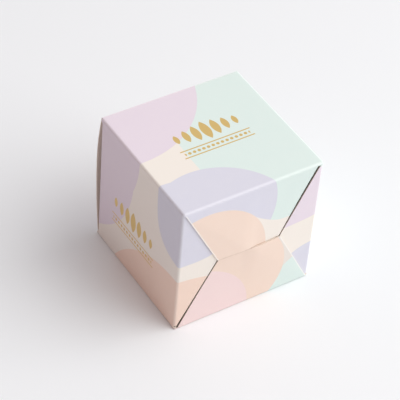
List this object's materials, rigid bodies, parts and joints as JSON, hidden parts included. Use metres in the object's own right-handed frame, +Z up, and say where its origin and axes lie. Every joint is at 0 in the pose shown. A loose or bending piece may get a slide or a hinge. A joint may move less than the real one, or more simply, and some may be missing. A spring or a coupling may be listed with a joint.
{
  "type": "cosmetic box",
  "caption": "Small cube-shaped folding carton for a cream jar, with a glued self-locking end and a hinged tuck-in lid, lying on one side panel.",
  "frame": {"origin": "on the surface that the closed carton lies on, under the middle of its outer box", "axes": "+X along the self-locking end from left to right, +Y from the self-locking end to the lid end, +Z up, across the panel that lies on the surface"},
  "size_m": [0.06, 0.0624, 0.0594],
  "materials": {
    "printed_board": "matt laminated paperboard printed in soft pastel colour fields, white inside and on the cut edges"
  },
  "bodies": {
    "carton": {"carton_body": "printed_board"},
    "lid": {"tuck_lid": "printed_board"}
  },
  "joints": [
    {"name": "lid_fold", "type": "hinge", "parent": "carton", "child": "lid", "pos_m": [0, 0.02838, 0.05917], "axis": [1, 0, 0], "range_deg": [0, 150]}
  ]
}
